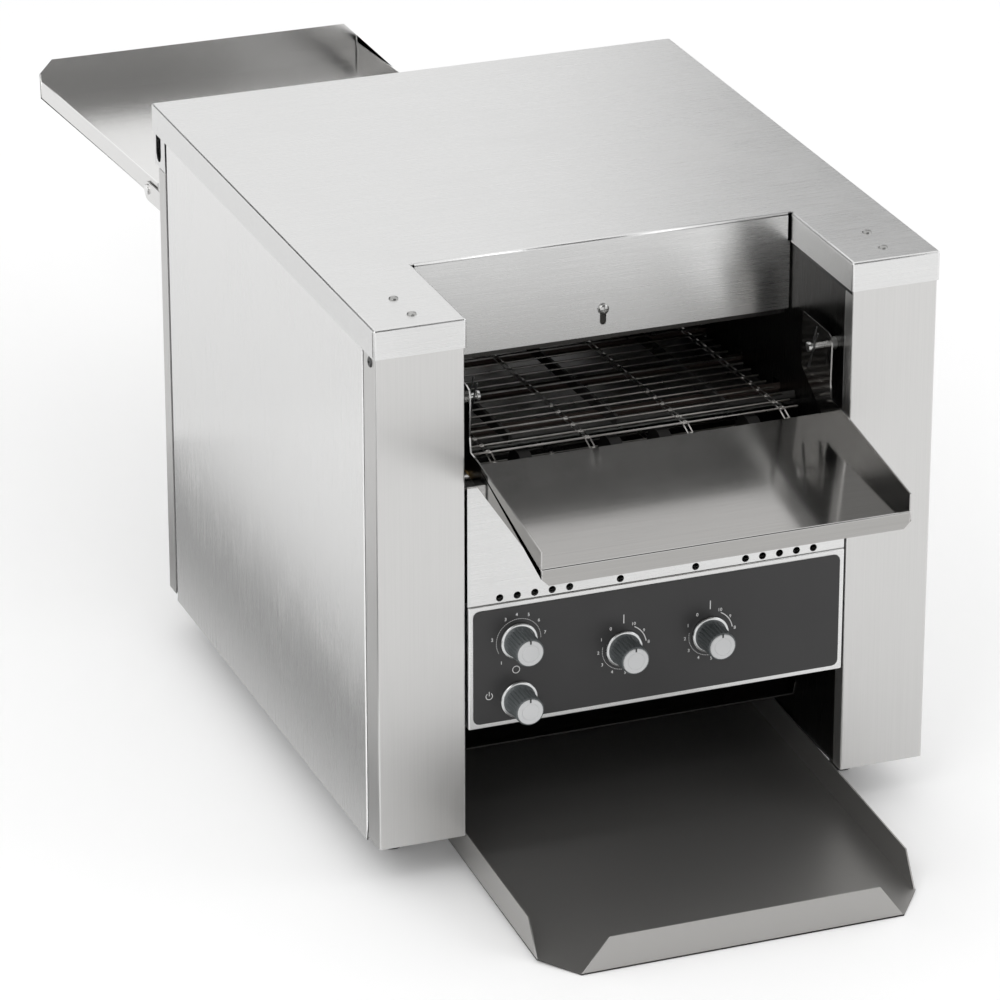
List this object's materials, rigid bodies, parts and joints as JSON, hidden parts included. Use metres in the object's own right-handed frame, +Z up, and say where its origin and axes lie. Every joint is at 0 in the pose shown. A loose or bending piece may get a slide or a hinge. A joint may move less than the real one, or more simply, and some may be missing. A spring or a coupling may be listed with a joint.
{
  "type": "conveyor toaster",
  "caption": "Countertop conveyor toaster: folded steel body, wire belt through a heated tunnel, lifting feed shelf, height gate, lower return tray and rear catch tray.",
  "frame": {"origin": "on the table, under the middle of the whole object's bounding box, trays included", "axes": "+X to the right as seen by the person at the control panel, +Y to the rear, along the belt, +Z up"},
  "size_m": [0.47, 1.3313, 0.477],
  "materials": {
    "stainless": "fine horizontal brushing, satin",
    "side_steel": "light satin",
    "tray_steel": "brushed across, semi-bright",
    "dark_steel": "heat-darkened, dull",
    "belt_steel": "drawn wire, slightly heat-tinted",
    "shaft_steel": "ground",
    "heater_sheath": "oxidised sheath, dull",
    "reflector_sheet": "rolled, slightly dulled",
    "overlay_film": "dark satin film",
    "knob_grey": "moulded, satin",
    "cap_silver": "spun, satin",
    "foot_black": "moulded, dull",
    "switch_black": "moulded",
    "motor_grey": "enamel",
    "bush_brass": "turned",
    "fan_black": "moulded"
  },
  "bodies": {
    "housing": {"top_cover": "stainless", "front_pillar_left": "stainless", "front_pillar_right": "stainless", "rear_panel": "stainless", "rear_header": "stainless", "vent_panel": "stainless", "control_bezel": "stainless", "exit_chute": "stainless", "base_pan": "stainless", "side_panel_left": "side_steel", "side_panel_right": "side_steel", "return_chute": "tray_steel", "tray_runners": "tray_steel", "inner_frame_left": "dark_steel", "inner_frame_right": "dark_steel", "control_housing": "dark_steel", "upper_heater_rails": "dark_steel", "lower_heater_rails": "dark_steel", "belt_bed": "dark_steel", "wire_belt": "belt_steel", "shelf_pins": "shaft_steel", "drive_chain": "shaft_steel", "upper_heaters": "heater_sheath", "lower_heaters": "heater_sheath", "upper_reflector": "reflector_sheet", "lower_reflector": "reflector_sheet", "control_overlay": "overlay_film", "front_left_foot": "foot_black", "front_right_foot": "foot_black", "rear_left_foot": "foot_black", "rear_right_foot": "foot_black", "power_switch": "switch_black", "speed_control": "switch_black", "heat_controls": "switch_black", "cord_gland": "switch_black", "gearmotor": "motor_grey", "shaft_bushes": "bush_brass", "fan_frame": "fan_black"},
    "shelf": {"feed_shelf": "tray_steel"},
    "gate": {"height_gate": "stainless", "gate_screw": "shaft_steel"},
    "speed_dial": {"speed_knob": "knob_grey", "speed_cap": "cap_silver"},
    "power_dial": {"power_knob": "knob_grey", "power_cap": "cap_silver"},
    "top_heat_dial": {"top_heat_knob": "knob_grey", "top_heat_cap": "cap_silver"},
    "bottom_heat_dial": {"bottom_heat_knob": "knob_grey", "bottom_heat_cap": "cap_silver"},
    "belt_drive": {"drive_shaft": "shaft_steel", "drive_sprockets": "shaft_steel", "driven_wheel": "shaft_steel"},
    "belt_idler": {"idler_shaft": "shaft_steel", "idler_rollers": "shaft_steel"},
    "motor_drive": {"motor_shaft": "shaft_steel", "driving_wheel": "shaft_steel"},
    "fan": {"fan_rotor": "fan_black"},
    "crumb_tray": {"lower_tray": "tray_steel"},
    "catch_tray": {"rear_tray": "tray_steel"}
  },
  "joints": [
    {"name": "shelf_lift", "type": "hinge", "parent": "housing", "child": "shelf", "pos_m": [0, -0.4518, 0.398], "axis": [-1, 0, 0], "range_deg": [0, 75]},
    {"name": "gate_drop", "type": "slide", "parent": "housing", "child": "gate", "axis": [0, 0, -1], "range_m": [0, 0.011]},
    {"name": "speed_dial_turn", "type": "hinge", "parent": "housing", "child": "speed_dial", "pos_m": [-0.118, -0.4986, 0.2015], "axis": [0, -1, 0], "range_deg": [-150, 150]},
    {"name": "power_dial_turn", "type": "hinge", "parent": "housing", "child": "power_dial", "pos_m": [-0.118, -0.4986, 0.1513], "axis": [0, -1, 0], "range_deg": [0, 90]},
    {"name": "top_heat_dial_turn", "type": "hinge", "parent": "housing", "child": "top_heat_dial", "pos_m": [-0.0296, -0.4986, 0.18], "axis": [0, -1, 0], "range_deg": [-150, 150]},
    {"name": "bottom_heat_dial_turn", "type": "hinge", "parent": "housing", "child": "bottom_heat_dial", "pos_m": [0.044, -0.4986, 0.18], "axis": [0, -1, 0], "range_deg": [-150, 150]},
    {"name": "belt_drive_spin", "type": "hinge", "parent": "housing", "child": "belt_drive", "pos_m": [0, 0.02023, 0.30105], "axis": [1, 0, 0], "continuous": true},
    {"name": "belt_idler_spin", "type": "hinge", "parent": "housing", "child": "belt_idler", "pos_m": [0, -0.4368, 0.3218], "axis": [1, 0, 0], "continuous": true},
    {"name": "motor_drive_spin", "type": "hinge", "parent": "housing", "child": "motor_drive", "pos_m": [0, -0.0598, 0.188], "axis": [1, 0, 0], "continuous": true},
    {"name": "fan_spin", "type": "hinge", "parent": "housing", "child": "fan", "pos_m": [-0.198, 0.046, 0.084], "axis": [0, 1, 0], "continuous": true},
    {"name": "crumb_tray_slide", "type": "slide", "parent": "housing", "child": "crumb_tray", "axis": [0, -1, 0], "range_m": [0, 0.25]},
    {"name": "catch_tray_slide", "type": "slide", "parent": "housing", "child": "catch_tray", "axis": [0, 0.998, -0.0628], "range_m": [0, 0.08]}
  ],
  "couplings": [
    {"joint": "belt_idler_spin", "follows": "belt_drive_spin", "ratio": 1},
    {"joint": "motor_drive_spin", "follows": "belt_drive_spin", "ratio": 1.7333}
  ]
}
